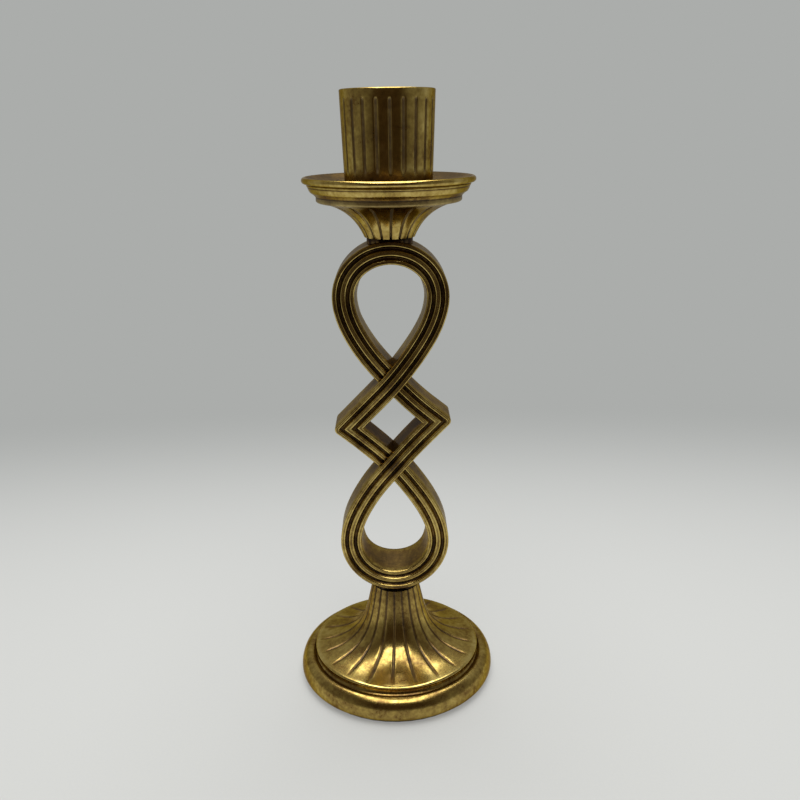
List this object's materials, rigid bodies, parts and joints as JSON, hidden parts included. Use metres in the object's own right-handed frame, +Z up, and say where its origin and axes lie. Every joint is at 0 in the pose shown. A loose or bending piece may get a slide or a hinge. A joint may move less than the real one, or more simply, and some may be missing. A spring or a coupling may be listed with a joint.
{
  "type": "candle holder",
  "caption": "Cast brass candle holder: a reeded ribbon stem woven into loops and a diamond, on a fluted bell foot, with a moulded drip pan and a fluted socket for a taper candle.",
  "frame": {"origin": "on the table, under the middle of the foot", "axes": "+Z up along the stem, -Y out of the ribbon's reeded front face, +X to the right of someone who looks at that face"},
  "size_m": [0.0722, 0.0722, 0.2095],
  "materials": {
    "antique_brass": "burnished cast brass with dark brown patina left in the grooves",
    "plain_brass": "turned brass, dulled",
    "green_felt": "pressed wool felt"
  },
  "bodies": {
    "root": {"felt_pad": "green_felt", "foot": "antique_brass", "foot_washer": "plain_brass", "foot_bolt": "plain_brass", "ribbon_stem": "antique_brass", "neck": "antique_brass", "drip_pan": "antique_brass", "candle_cup": "antique_brass", "cup_washer": "plain_brass", "cup_screw": "plain_brass"}
  },
  "joints": []
}
